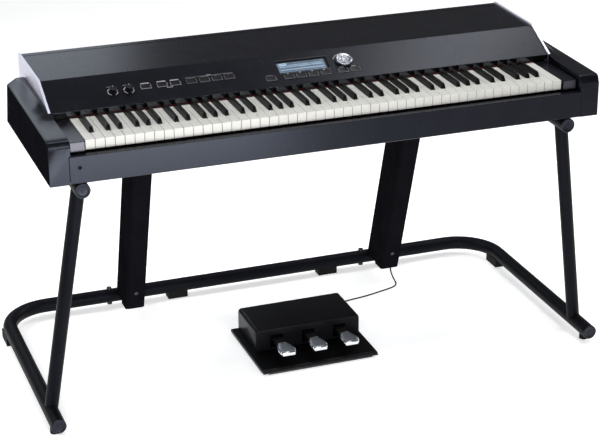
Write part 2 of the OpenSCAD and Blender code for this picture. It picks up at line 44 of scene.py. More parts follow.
# Where things are, in millimetres: y from the front of the piano, z from its underside or from the floor.
FRONT_Y = -350
BODY_Z = 650
HALF_W = 704
REAR_LEAN = 33
INNER_X = 655.5
PANEL_Y0, PANEL_Z0 = 187, 111
FOLD_Y, FOLD_Z = 288, 160
TILT = math.atan2(FOLD_Z - PANEL_Z0, FOLD_Y - PANEL_Y0)
KEY_PITCH = 23.5
KEYS_X0 = -52 * KEY_PITCH / 2
KEY_TOP = 95
PEDAL_X, PEDAL_PITCH = 10, 88
FLOOR_X, TOP_X = 721, 627
FLOOR_Z, TOP_Z = 33, 627.5
HIGH_X = (-408, -367, -334, -293, -260, -228, -196)
LOW_X = (-95, -47.5, -15.5, 16.5, 48.5, 96, 128)
ROW_HIGH, ROW_LOW = 53.5, 30
BUTTON_W, BUTTON_L = 26.6, 17.4
KNOB_X, KNOB_U = (-491, -451), 49
DIAL = (108, 62)
DISPLAY = (-1, 65.5)
DISPLAY_SIZE = (133, 41)


def body_point(x, y, z):
    return Vector((x, y + FRONT_Y, z + BODY_Z)) * MM


def floor_point(x, y, z):
    return Vector((x, y + FRONT_Y, z)) * MM


PANEL = Matrix.Translation(body_point(0, PANEL_Y0, PANEL_Z0)) @ Matrix.Rotation(TILT, 4, "X")


# ---------- camera ----------
def make_camera():
    azimuth, elevation = math.radians(-20.89), math.radians(23.08)
    back = Vector((math.sin(azimuth) * math.cos(elevation), -math.cos(azimuth) * math.cos(elevation),
                   math.sin(elevation)))
    right = Vector((math.cos(azimuth), math.sin(azimuth), 0))
    up = back.cross(right)
    data = bpy.data.cameras.new("camera")
    data.sensor_width = 36
    data.lens = 107.95
    data.shift_x, data.shift_y = -0.0535, 0.0244
    data.clip_start, data.clip_end = 0.1, 60
    camera = bpy.data.objects.new("camera", data)
    bpy.context.scene.collection.objects.link(camera)
    camera.matrix_world = Matrix((
        (right.x, up.x, back.x, -1.4630),
        (right.y, up.y, back.y, -4.1421),
        (right.z, up.z, back.z, 2.1654),
        (0, 0, 0, 1)))
    bpy.context.scene.camera = camera


make_camera()


# ---------- materials ----------
def new_material(name):
    m = bpy.data.materials.new(name)
    m.use_nodes = True
    tree = m.node_tree
    return m, tree, tree.nodes["Principled BSDF"]


def add(tree, kind, **inputs):
    n = tree.nodes.new(kind)
    for key, value in inputs.items():
        n.inputs[key].default_value = value
    return n


def ramp(tree, source, stops):
    n = tree.nodes.new("ShaderNodeValToRGB")
    tree.links.new(source, n.inputs["Fac"])
    n.color_ramp.elements[0].position, n.color_ramp.elements[0].color = stops[0][0], stops[0][1]
    n.color_ramp.elements[1].position, n.color_ramp.elements[1].color = stops[1][0], stops[1][1]
    return n


def grey(v):
    return (v, v, v, 1)


def surface(name, dark, light, rough, grain=900, bump=0.15, bump_height=0.00004, metallic=0.0, specular=0.5,
            patch=14, edge=0.0006, sheen=0.0, stretch=(1, 1, 1), tint=(1, 1, 1), vary=0.12):
    """A painted, moulded or metal surface: two tones mottled at a large and a fine scale, varied gloss, a fine
    grain in the relief, and softly rounded edges."""
    m, tree, b = new_material(name)
    link = tree.links.new
    where = tree.nodes.new("ShaderNodeTexCoord").outputs["Object"]
    mapping = add(tree, "ShaderNodeMapping", Scale=stretch)
    link(where, mapping.inputs["Vector"])
    broad = add(tree, "ShaderNodeTexNoise", Scale=patch, Detail=4, Roughness=0.6)
    fine = add(tree, "ShaderNodeTexNoise", Scale=grain, Detail=3, Roughness=0.65)
    link(where, broad.inputs["Vector"])
    link(mapping.outputs["Vector"], fine.inputs["Vector"])
    mixed = tree.nodes.new("ShaderNodeMath")
    mixed.operation = "MULTIPLY_ADD"
    link(fine.outputs["Fac"], mixed.inputs[0])
    mixed.inputs[1].default_value = 0.45
    half = tree.nodes.new("ShaderNodeMath")
    half.operation = "MULTIPLY"
    link(broad.outputs["Fac"], half.inputs[0])
    half.inputs[1].default_value = 0.55
    link(half.outputs[0], mixed.inputs[2])
    colour = ramp(tree, mixed.outputs[0], [(0.35, (*dark, 1)), (0.65, (*light, 1))])
    link(colour.outputs["Color"], b.inputs["Base Color"])
    gloss = ramp(tree, mixed.outputs[0], [(0.3, grey(rough * (1 - vary))), (0.7, grey(min(1, rough * (1 + vary))))])
    link(gloss.outputs["Color"], b.inputs["Roughness"])
    b.inputs["Metallic"].default_value = metallic
    b.inputs["Specular IOR Level"].default_value = specular
    b.inputs["Specular Tint"].default_value = (*tint, 1)
    b.inputs["Sheen Weight"].default_value = sheen
    relief = add(tree, "ShaderNodeBump", Strength=bump, Distance=bump_height)
    link(fine.outputs["Fac"], relief.inputs["Height"])
    if edge:
        rounding = tree.nodes.new("ShaderNodeBevel")
        rounding.samples = 4
        rounding.inputs["Radius"].default_value = edge
        link(rounding.outputs["Normal"], relief.inputs["Normal"])
    link(relief.outputs["Normal"], b.inputs["Normal"])
    return m


# Painted light: this blue tints the reflections of the dark materials, so that their sheen looks bluish.
PAINTED_BLUE_SHEEN = (0.72, 0.80, 1.0)
MAT = {
    "sheet": surface("charcoal_painted_steel", (0.004, 0.004, 0.0055), (0.007, 0.007, 0.010), 0.27, grain=1500,
                     bump=0.08, edge=0.0009, specular=0.17, tint=PAINTED_BLUE_SHEEN, vary=0.035),
    "plastic": surface("charcoal_moulding", (0.003, 0.003, 0.0045), (0.006, 0.006, 0.009), 0.25, grain=1200,
                       bump=0.1, edge=0.0009, specular=0.23, tint=PAINTED_BLUE_SHEEN, vary=0.035),
    # A copy of the moulding without reflection, for the end blocks' outer sides and rear faces: painted shade, so that
    # these faces stay dark.
    "shaded_side_copy": surface("side_copy_painted_shade", (0.006, 0.006, 0.0078), (0.010, 0.010, 0.013), 0.72, grain=1200,
                             bump=0.3, edge=0.0009, specular=0.0, tint=PAINTED_BLUE_SHEEN),
    # A lighter, glossier, blue-tinted copy of the moulding for the key blocks' inset fronts: painted light, so that
    # they read as lit.
    "cheek_face": surface("cheek_front_painted_light", (0.010, 0.010, 0.013), (0.016, 0.016, 0.021), 0.30, grain=1200, bump=0.1,
                          edge=0.0006, specular=0.75, tint=(0.88, 0.88, 1.0)),
    # Its reflections are tinted blue in the material: painted colour of light.
    "gloss_strip": surface("gloss_strip_below_panel", (0.002, 0.002, 0.003), (0.004, 0.004, 0.005), 0.13, grain=1200,
                           bump=0.03, edge=0.0003, specular=0.9, tint=(0.88, 0.92, 1.0)),
    "side_trim": surface("anodised_side_trim", (0.74, 0.74, 0.87), (0.81, 0.81, 0.93), 0.42, grain=700, bump=0.2,
                         metallic=0.55, edge=0.0007, stretch=(1, 0.05, 1)),
    "bolt": surface("blackened_bolt", (0.03, 0.03, 0.033), (0.07, 0.07, 0.075), 0.34, metallic=0.8, grain=700,
                    edge=0.0004),
    "steel": surface("zinc_plated_steel", (0.42, 0.43, 0.45), (0.58, 0.59, 0.61), 0.33, metallic=1, grain=500,
                     edge=0.0004),
    "board": surface("circuit_board_green", (0.01, 0.07, 0.03), (0.02, 0.10, 0.045), 0.4, grain=300, edge=0),
    "psu": surface("folded_aluminium", (0.55, 0.56, 0.58), (0.66, 0.67, 0.69), 0.35, metallic=1, grain=600),
    "socket": surface("black_socket", (0.003, 0.003, 0.0035), (0.006, 0.006, 0.007), 0.45, edge=0.0004, specular=0.2),
    "control": surface("button_black", (0.003, 0.003, 0.004), (0.006, 0.006, 0.008), 0.34, grain=1800, edge=0.0003,
                       specular=0.2),
    "stand": surface("powder_coated_steel", (0.003, 0.003, 0.004), (0.006, 0.006, 0.008), 0.45, grain=1600,
                     bump=0.4, bump_height=0.00005, edge=0.0006, specular=0.08, tint=PAINTED_BLUE_SHEEN),
    # The columns get a copy of the stand's powder coat without reflection: painted shade, so that their sides stay
    # dark.
    "column": surface("column_copy_painted_shade", (0.0045, 0.0045, 0.006), (0.008, 0.008, 0.010), 0.42, grain=1600,
                      bump=0.4, bump_height=0.00005, edge=0.0014, specular=0.0, tint=PAINTED_BLUE_SHEEN),
    "cap": surface("tube_cap_plastic", (0.006, 0.006, 0.008), (0.012, 0.012, 0.015), 0.36, grain=1200, specular=0.3,
                   tint=PAINTED_BLUE_SHEEN),
    "rubber": surface("black_rubber", (0.003, 0.003, 0.003), (0.007, 0.007, 0.007), 0.72, grain=700, bump=0.5,
                      edge=0.0012, specular=0.15),
    "pedal_box": surface("pedal_box_moulding", (0.003, 0.003, 0.004), (0.0055, 0.0055, 0.0075), 0.34, grain=1100,
                         bump=0.3, edge=0.0012, specular=0.10),
    "pedal_base": surface("pedal_base_black", (0.002, 0.002, 0.0025), (0.004, 0.004, 0.005), 0.40, grain=1100,
                          bump=0.3, edge=0.0010, specular=0.10),
    # A lighter, glossier copy of the pedal plate's black for its front lip and bar: painted sheen.
    "pedal_front_sheen": surface("pedal_front_painted_sheen", (0.005, 0.005, 0.006), (0.009, 0.009, 0.011), 0.34, grain=1100,
                         bump=0.3, edge=0.0006, specular=0.35),
    "pedal_arm": surface("pedal_arm_black", (0.003, 0.003, 0.0035), (0.006, 0.006, 0.007), 0.42, grain=900,
                         specular=0.15),
    "chrome": surface("polished_chrome", (0.78, 0.79, 0.82), (0.86, 0.87, 0.89), 0.10, metallic=1, grain=250,
                      bump=0.04, edge=0.0008),
    "satin_chrome": surface("satin_pedal_top", (0.42, 0.45, 0.50), (0.50, 0.53, 0.58), 0.34, metallic=1, grain=900,
                            bump=0.2, edge=0, stretch=(1, 0.08, 1)),
    "dial": surface("cast_dial", (0.26, 0.27, 0.31), (0.46, 0.47, 0.52), 0.26, metallic=1, grain=700, bump=0.3,
                    edge=0.0004),
    "print": surface("pale_print", (0.34, 0.34, 0.38), (0.44, 0.44, 0.48), 0.5, grain=1500, edge=0),
    "dim_print": surface("grey_print", (0.15, 0.15, 0.18), (0.21, 0.21, 0.24), 0.5, grain=1500, edge=0),
    "cable": surface("cable_jacket", (0.002, 0.002, 0.002), (0.004, 0.004, 0.004), 0.5, grain=1400, edge=0,
                     specular=0.1),
    "black_key": surface("black_key_matt", (0.002, 0.0025, 0.0025), (0.005, 0.006, 0.006), 0.36, grain=900,
                         bump=0.4, bump_height=0.00004, edge=0, stretch=(1, 0.06, 1), specular=0.15),
    "white_key": surface("white_key_ivory", (0.585, 0.58, 0.545), (0.655, 0.65, 0.61), 0.36, grain=700, patch=30,
                         bump=0.25, edge=0, stretch=(1, 0.15, 1)),
    # Red felt, very dark in colour: partly its own red, partly painted shade under the panel.
    "felt": surface("red_felt_painted_shade", (0.020, 0.002, 0.003), (0.045, 0.004, 0.006), 0.95, grain=2600, bump=0.9,
                    bump_height=0.0003, edge=0, sheen=0.05, specular=0.1),
}
white = MAT["white_key"].node_tree.nodes["Principled BSDF"]
white.inputs["Coat Weight"].default_value = 0.15
white.inputs["Coat Roughness"].default_value = 0.25


def screen_material():
    """A lit liquid-crystal screen with a faint dot grid in its relief."""
    m, tree, b = new_material("display_screen")
    link = tree.links.new
    where = tree.nodes.new("ShaderNodeTexCoord").outputs["Object"]
    noise = add(tree, "ShaderNodeTexNoise", Scale=60, Detail=2)
    link(where, noise.inputs["Vector"])
    colour = ramp(tree, noise.outputs["Fac"], [(0.3, (0.07, 0.11, 0.16, 1)), (0.7, (0.12, 0.17, 0.23, 1))])
    dots = add(tree, "ShaderNodeTexVoronoi", Scale=1400)
    link(where, dots.inputs["Vector"])
    link(colour.outputs["Color"], b.inputs["Base Color"])
    link(colour.outputs["Color"], b.inputs["Emission Color"])
    b.inputs["Emission Strength"].default_value = 0.5
    b.inputs["Roughness"].default_value = 0.2
    relief = add(tree, "ShaderNodeBump", Strength=0.05, Distance=0.00002)
    link(dots.outputs["Distance"], relief.inputs["Height"])
    link(relief.outputs["Normal"], b.inputs["Normal"])
    return m


def glow_material(name, dark, light, strength):
    """One of the screen's two marks, lit bright or left dark."""
    m, tree, b = new_material(name)
    link = tree.links.new
    noise = add(tree, "ShaderNodeTexNoise", Scale=900, Detail=2)
    link(tree.nodes.new("ShaderNodeTexCoord").outputs["Object"], noise.inputs["Vector"])
    colour = ramp(tree, noise.outputs["Fac"], [(0.35, (*dark, 1)), (0.65, (*light, 1))])
    link(colour.outputs["Color"], b.inputs["Base Color"])
    link(colour.outputs["Color"], b.inputs["Emission Color"])
    b.inputs["Emission Strength"].default_value = strength
    b.inputs["Roughness"].default_value = 0.3
    return m


MAT["screen"] = screen_material()
MAT["screen_bright"] = glow_material("display_bright", (0.24, 0.32, 0.40), (0.34, 0.44, 0.53), 0.42)
MAT["screen_dark"] = glow_material("display_dark", (0.02, 0.04, 0.07), (0.03, 0.05, 0.085), 0.2)

NODE_MATERIAL = {
    "bottom_case": "sheet", "front_rail": "plastic", "top_lid": "sheet", "control_panel": "sheet",
    "rear_panel": "sheet", "side_plates": "side_trim", "key_blocks": "plastic", "key_frame": "steel",
    "pivot_rods": "steel", "display_module": "socket", "circuit_boards": "board", "power_supply": "psu",
    "jack_sockets": "socket", "screws_and_bolts": "bolt", "power_switch": "control", "floor_frame": "stand",
    "top_frame": "stand", "left_column": "column", "right_column": "column", "front_legs": "stand",
    "rubber_pads": "rubber", "pedal_plug": "socket",
}
for name, o in nodes.items():
    key = NODE_MATERIAL.get(name, "plastic")
    o.data.materials.clear()
    o.data.materials.append(MAT[key])


# ---------- mesh helpers ----------
class Shape:
    """A mesh gathered in millimetres, then placed by a matrix or a point function."""

    def __init__(self, name):
        self.name = name
        self.verts = []
        self.faces = []
        self.slots = []
        self.mats = []

    def use(self, key):
        if key not in self.mats:
            self.mats.append(key)
        return self.mats.index(key)

    def add(self, verts, faces, key):
        base = len(self.verts)
        self.verts.extend(verts)
        self.faces.extend([tuple(base + i for i in f) for f in faces])
        self.slots.extend([self.use(key)] * len(faces))

    def prism_x(self, points, x0, x1, key):
        n = len(points)
        verts = [(x0, y, z) for y, z in points] + [(x1, y, z) for y, z in points]
        faces = [tuple(range(n)), tuple(range(2 * n - 1, n - 1, -1))]
        faces += [(i, n + i, n + (i + 1) % n, (i + 1) % n) for i in range(n)]
        self.add(verts, faces, key)

    def box(self, lo, hi, key):
        self.prism_x([(lo[1], lo[2]), (hi[1], lo[2]), (hi[1], hi[2]), (lo[1], hi[2])], lo[0], hi[0], key)

    def loft(self, rings, key, caps=True):
        """Joins closed rings of equal length, each a list of (x, y, z)."""
        n = len(rings[0])
        verts = [p for ring in rings for p in ring]
        faces = []
        for r in range(len(rings) - 1):
            for i in range(n):
                j = (i + 1) % n
                faces.append((r * n + i, r * n + j, (r + 1) * n + j, (r + 1) * n + i))
        if caps:
            faces.append(tuple(range(n - 1, -1, -1)))
            faces.append(tuple((len(rings) - 1) * n + i for i in range(n)))
        self.add(verts, faces, key)

    def lathe(self, profile, key, steps=64, centre=(0, 0, 0), axis="Z", wobble=None):
        """Turns (radius, height) pairs about an axis through centre. wobble(angle, radius, height) gives a radius."""
        rings = []
        for r, h in profile:
            ring = []
            for k in range(steps):
                a = 2 * math.pi * k / steps
                q = wobble(a, r, h) if wobble else r
                c, s = q * math.cos(a), q * math.sin(a)
                if axis == "Z":
                    ring.append((centre[0] + c, centre[1] + s, centre[2] + h))
                else:
                    ring.append((centre[0] + c, centre[1] + h, centre[2] - s))
            rings.append(ring)
        self.loft(rings, key)

    def make(self, place, body=ROOT, bevel=0.0, segments=2, replaces=(), angle=32):
        """Builds the object with smooth shading and, if a bevel is given, rounded edges, and lets it ride on a body."""
        mesh = bpy.data.meshes.new(self.name)
        if isinstance(place, Matrix):
            verts = [place @ (Vector(v) * MM) for v in self.verts]
        else:
            verts = [place(*v) for v in self.verts]
        mesh.from_pydata(verts, [], self.faces)
        for key in self.mats:
            mesh.materials.append(MAT[key])
        mesh.polygons.foreach_set("material_index", self.slots)
        bm = bmesh.new()
        bm.from_mesh(mesh)
        bmesh.ops.recalc_face_normals(bm, faces=bm.faces)
        bm.to_mesh(mesh)
        bm.free()
        o = bpy.data.objects.new(self.name, mesh)
        bpy.context.scene.collection.objects.link(o)
        mesh.polygons.foreach_set("use_smooth", [True] * len(mesh.polygons))
        if not bevel:
            mesh.set_sharp_from_angle(angle=math.radians(angle))
        if bevel:
            m = o.modifiers.new("rounding", "BEVEL")
            m.width = bevel * MM
            m.segments = segments
            m.limit_method = "ANGLE"
            m.angle_limit = math.radians(angle)
            m.use_clamp_overlap = True
            m.harden_normals = True
        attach(o, body)
        if replaces:
            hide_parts(*replaces)
        return o


def smooth_step(t):
    t = max(0.0, min(1.0, t))
    return t * t * (3 - 2 * t)


# ---------- the pedal cable ----------
ROUTE = [(125, 401, 22), (125, 412, 21), (127, 426, 16), (132, 440, 9), (142, 452, 4), (156, 460, 2.2),
         (175, 466, 2.2), (203, 474, 2.2), (232, 480, 2.2), (260, 484, 2.2), (290, 491, 2.2), (321, 500, 2.2),
         (348, 508, 2.2), (368, 516, 2.2), (380, 526, 2.2), (386, 538, 2.6), (387, 551, 5), (386, 563, 12),
         (384, 571, 24), (382, 573, 42), (380, 570, 66), (380, 563, 100), (380, 552, 150), (380, 540, 200),
         (380, 525, 300), (380, 510, 400), (380, 497, 500), (380, 487, 560), (380, 482, 594), (380, 481, 612),
         (380, 487, 626), (380, 502, 634), (380, 524, 637), (380, 546, 640), (380, 564, 649), (380, 575, 664),
         (380, 577, 680), (380, 570, 692), (380, 558, 695), (380, 546, 695)]
CABLE_R = 2.0


def along_route(steps=4):
    """A smooth curve through the route's points."""
    points = [Vector(p) for p in ROUTE]
    at = lambda i: points[max(0, min(len(points) - 1, i))]
    out = []
    for i in range(len(points) - 1):
        a, b, c, d = at(i - 1), at(i), at(i + 1), at(i + 2)
        for s in range(steps):
            t = s / steps
            out.append(0.5 * (2 * b + (c - a) * t + (2 * a - 5 * b + 4 * c - d) * t * t
                              + (3 * b - a - 3 * c + d) * t ** 3))
    out.append(points[-1])
    return [floor_point(*p) for p in out]


def make_cable():
    path = along_route()
    curve = bpy.data.curves.new("pedal_lead", "CURVE")
    curve.dimensions = "3D"
    curve.bevel_depth = CABLE_R * MM
    curve.bevel_resolution = 3
    curve.use_fill_caps = True
    spline = curve.splines.new("POLY")
    spline.points.add(len(path) - 1)
    for p, q in zip(spline.points, path):
        p.co = (*q, 1)
    curve.materials.append(MAT["cable"])
    o = bpy.data.objects.new("pedal_lead", curve)
    bpy.context.scene.collection.objects.link(o)
    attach(o, ROOT)
    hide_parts("pedal_cable")


make_cable()


# ---------- end blocks ----------
PLATE_X = 660
STEP_Z = 68.2
BLOCK_TOP = 107.3


def end_block_ring(at, z_front, drop, side, behind):
    """Section of an end block. Behind the panel's foot it makes room for the side plate, and a ridge rises beside
    the plate. The rear face leans forward."""
    foot, inner = (PLATE_X + 0.3,) * 2 if behind else (INNER_X + 1.4, INNER_X - 2.5)
    lean = REAR_LEAN * smooth_step((at - 330) / 155)
    y_top = at - lean
    top = z_front + 3.2 * max(0, y_top - 15) / 435 - drop
    up = smooth_step((y_top - 168) / 84)
    rise = 5.0 * smooth_step((y_top - 145) / 40) + 10.4 * up
    outer, ridge_x = HALF_W, PLATE_X + 1.5 + 6.5 * up
    early = smooth_step((y_top - 240) / 200)
    section = [(foot, 0), (outer, 0), (outer, top - 2.2), (outer - 0.4, top - 0.9), (outer - 1.5, top - 0.1)]
    x0 = outer - 1.5
    for t, h in ((0.10, 0.005), (0.20, 0.015), (0.30, 0.04), (0.40, 0.09), (0.50, 0.19), (0.60, 0.36), (0.70, 0.58),
                 (0.80, 0.80), (0.90, 0.95), (1.0, 1.0)):
        h += (t - h) * 0.25
        h += (min(1, t / 0.62) - h) * early
        section.append((x0 + (ridge_x - x0) * t, top - 0.1 + (rise + 0.1) * h))
    brow = max(ridge_x - 1.8, inner + 3.4) if behind else ridge_x - 3
    section += [(brow, top + rise * 0.99), ((inner + brow) / 2, top + rise * 0.96),
                (inner + 0.8, top + rise * 0.90 - 0.1), (inner, top + rise * 0.88 - 1.0), (inner, STEP_Z),
                (foot, STEP_Z)]
    return [(side * x, at - lean * z / top, z) for x, z in section]


def make_end_block(side, name):
    s = Shape(name)
    front = [(0, 88.6), (0.3, 90.0), (1.1, 90.9), (1.9, 91.4), (2.5, 93.5), (3.9, 98.2), (6.4, 102.8), (9.4, 105.8),
             (12.6, 107.0), (15, BLOCK_TOP)]
    beside_keys = (30, 60, 100, 145, 153, 161, 169, 176, 181.4)
    beside_plate = (181.7, 186, 192, 198, 204, 210, 216, 223, 231, 240, 260, 300, 330, 350, 370, 390, 410, 430,
                    450, 465)
    rear = ((474, 0), (479, 0.4), (482.5, 1.4), (484.4, 2.8), (485, 4.2))
    rings = [end_block_ring(y, z, 0, side, False) for y, z in front]
    rings += [end_block_ring(y, BLOCK_TOP, 0, side, False) for y in beside_keys]
    rings += [end_block_ring(y, BLOCK_TOP, 0, side, True) for y in beside_plate]
    rings += [end_block_ring(y, BLOCK_TOP, drop, side, True) for y, drop in rear]
    s.loft(rings, "plastic")
    shade_slot = s.use("shaded_side_copy")
    # The outer side and the rear face get a copy of the moulding without reflection: painted shade, so that these faces
    # stay dark
    n = len(rings[0])
    for r in range(len(rings) - 1):
        s.slots[r * n + 1] = shade_slot
    s.slots[-1] = shade_slot
    return s.make(body_point, bevel=0.8, segments=2, angle=38)


left_end = make_end_block(-1, "end_block_left")
make_end_block(1, "end_block_right")
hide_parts("end_blocks")


# ---------- keys ----------
LETTERS = "c d e f g a b".split()
SHARP_AFTER = (True, True, False, True, True, True, False)
SHARP_SHIFT = (-2.6, 2.6, 0, -3.6, 0, 3.6, 0)
FIRST_LETTER = 5
SLOT_HALF = 6.25
KEY_FRONT, KEY_BACK, KEY_UNDER, LIP_UNDER, NOTCH_Y = 26, 246, 77, 71, 70.5
SHARP_FRONT, SHARP_END, SHARP_HALF, SHARP_H = 72, 172, 5.25, 12


def letter(i):
    return (i + FIRST_LETTER) % 7


def has_sharp(i):
    return 0 <= i < 51 and SHARP_AFTER[letter(i)]


def add_white(s, i, rng):
    """A white key seen from above as a ring with its notches, with a front lip that hangs lower than the rest."""
    x0 = KEYS_X0 + i * KEY_PITCH
    xl, xr = x0 + 0.5, x0 + KEY_PITCH - 0.5
    nl = SLOT_HALF + SHARP_SHIFT[letter(i - 1)] if has_sharp(i - 1) else 0
    nr = SLOT_HALF - SHARP_SHIFT[letter(i)] if has_sharp(i) else 0
    top = KEY_TOP - rng.uniform(0, 0.12)
    lip = KEY_FRONT + 6
    ring = [(xl, KEY_FRONT), (xr, KEY_FRONT), (xr, lip), (xr, NOTCH_Y)]
    ring += [(x0 + KEY_PITCH - nr, NOTCH_Y), (x0 + KEY_PITCH - nr, KEY_BACK)] if nr else [(xr, KEY_BACK)]
    ring += [(x0 + nl, KEY_BACK), (x0 + nl, NOTCH_Y)] if nl else [(xl, KEY_BACK)]
    ring += [(xl, NOTCH_Y), (xl, lip)]
    n = len(ring)
    verts = [(x, y, top) for x, y in ring] + [(x, y, KEY_UNDER) for x, y in ring]
    verts += [(x, y, LIP_UNDER) for x, y in (ring[0], ring[1], ring[2], ring[-1])]
    faces = [tuple(range(n))]
    faces += [(k, k + 1, n + k + 1, n + k) for k in range(2, n - 1)]
    low = [2 * n + k for k in range(4)]
    faces += [(0, 1, low[1], low[0]), (1, 2, n + 2, low[2], low[1]), (n - 1, 0, low[0], low[3], 2 * n - 1)]
    faces += [(n + 2, 2 * n - 1, low[3], low[2]), tuple(low), tuple(n + k for k in range(2, n))]
    s.add(verts, faces, "white_key")


def add_sharp(s, i):
    """A black key: its stick, and the cap that slopes at the front."""
    x = KEYS_X0 + (i + 1) * KEY_PITCH + SHARP_SHIFT[letter(i)]
    half = SHARP_HALF
    s.box((x - half, SHARP_FRONT, KEY_UNDER), (x + half, KEY_BACK, KEY_TOP - 0.4), "black_key")
    rings = []
    for z, front, back, w in ((KEY_TOP - 2, SHARP_FRONT, SHARP_END, half),
                              (KEY_TOP + 1, SHARP_FRONT + 0.3, SHARP_END, half),
                              (KEY_TOP + SHARP_H - 3.2, SHARP_FRONT + 4.4, SHARP_END, half - 0.75),
                              (KEY_TOP + SHARP_H, SHARP_FRONT + 7.2, SHARP_END, half - 1.3)):
        rings.append([(x - w, front, z), (x + w, front, z), (x + w, back, z), (x - w, back, z)])
    s.loft(rings, "black_key")


rng = random.Random(4)
for n, name in enumerate(LETTERS):
    s = Shape("white_keys_" + name)
    for i in range(52):
        if letter(i) == n:
            add_white(s, i, rng)
    s.make(body_point, body="keys_" + name, bevel=0.55, segments=2, replaces=["keys_" + name])
for n, name in enumerate(LETTERS):
    if SHARP_AFTER[n]:
        s = Shape("black_keys_" + name + "_sharp")
        for i in range(51):
            if letter(i) == n and has_sharp(i):
                add_sharp(s, i)
        node = "keys_" + name + "_sharp"
        s.make(body_point, body=node, bevel=1.0, segments=3, replaces=[node], angle=25)


# ---------- front faces of the key blocks ----------
CHEEK_X = (614.2, 647.8)


def make_cheek_faces():
    s = Shape("cheek_faces")
    for side in (-1, 1):
        lo, hi = sorted((side * CHEEK_X[0], side * CHEEK_X[1]))
        # The inset front in the lighter copy of the moulding: painted light.
        s.prism_x([(20.5, 71), (19.7, 71.6), (19.7, 93.0), (20.5, 94.0)], lo, hi, "cheek_face")
    s.make(body_point, bevel=0.3, segments=2)


make_cheek_faces()


# ---------- felt behind the keys ----------
def make_felt():
    s = Shape("red_felt_strip")
    rng = random.Random(11)
    steps = 240
    x0, x1 = KEYS_X0 + 1, -KEYS_X0 - 1
    rings = []
    for k in range(steps + 1):
        x = x0 + (x1 - x0) * k / steps
        j = [rng.uniform(-0.25, 0.25) for _ in range(6)]
        rings.append([(x, 180.6 + j[0], 97.0), (x, 186.4, 97.0), (x, 186.4, 98.5), (x, 184.6, 98.6 + j[1] * 0.5),
                      (x, 182.4, 98.5 + j[2] * 0.5), (x, 181.0 + j[3], 97.9 + j[4] * 0.5)])
    s.loft(rings, "felt")
    s.make(body_point, replaces=["key_felt"], angle=50)


make_felt()


# ---------- gloss strip below the panel ----------
STRIP_HALF = 653.8


def make_gloss_strip():
    """The black gloss strip that hangs below the panel, with the memory port's plate at its left end."""
    s = Shape("gloss_strip")
    s.prism_x([(186.15, 98.8), (186.9, 98.8), (186.9, 110.9), (186.6, 110.9), (186.15, 110.2)], -STRIP_HALF,
              STRIP_HALF, "gloss_strip")
    s.box((-640, 184.9, 99.4), (-624, 186.2, 107.4), "socket")
    s.box((-637.4, 184.6, 101.0), (-626.6, 185.0, 101.9), "bolt")
    # The pale steel bar on the port's plate is a painted highlight.
    s.box((-636.4, 184.6, 103.6), (-629.4, 185.0, 104.9), "steel")
    s.make(body_point, bevel=0.15, segments=2)


make_gloss_strip()


# ---------- controls on the panel ----------
def panel_box(s, x, u, w, l, z0, z1, key):
    s.box((x - w / 2, u - l / 2, z0), (x + w / 2, u + l / 2, z1), key)


def rounded_ring(x, u, w, l, z, r, steps=4):
    out = []
    for cx, cy, a0 in ((w / 2 - r, l / 2 - r, 0), (-w / 2 + r, l / 2 - r, 90), (-w / 2 + r, -l / 2 + r, 180),
                       (w / 2 - r, -l / 2 + r, 270)):
        for k in range(steps + 1):
            a = math.radians(a0 + 90 * k / steps)
            out.append((x + cx + r * math.cos(a), u + cy + r * math.sin(a), z))
    return out


BUTTON_TOP = 1.4


def make_button(index, x, u):
    name = "button_%d" % index
    s = Shape("push_" + name)
    w, l = BUTTON_W, BUTTON_L
    rings = [rounded_ring(x, u, w + 2.4, l + 2.4, -3.8, 1.2), rounded_ring(x, u, w + 2.4, l + 2.4, -2.4, 1.2),
             rounded_ring(x, u, w, l, -2.4, 1.6), rounded_ring(x, u, w, l, 0.8, 1.6),
             rounded_ring(x, u, w - 0.5, l - 0.5, 1.3, 1.5),
             rounded_ring(x, u, w - 1.4, l - 1.4, BUTTON_TOP - 0.05, 1.2),
             rounded_ring(x, u, w - 6, l - 6, BUTTON_TOP - 0.35, 1.0)]
    s.loft(rings, "control")
    # Pale outline: the sides and the near edge of the cap
    line = 0.9
    key = "print" if index <= 3 else "dim_print"
    panel_box(s, x, u - l / 2 + line / 2 + 0.2, w - 1.2, line, BUTTON_TOP - 0.4, BUTTON_TOP + 0.03, key)
    for side in (-1, 1):
        panel_box(s, x + side * (w / 2 - line / 2 - 0.4), u - 1.2, line * 0.8, l - 4.4, BUTTON_TOP - 0.4,
                  BUTTON_TOP + 0.03, key)
    s.make(PANEL, body=name, replaces=[name], angle=35)


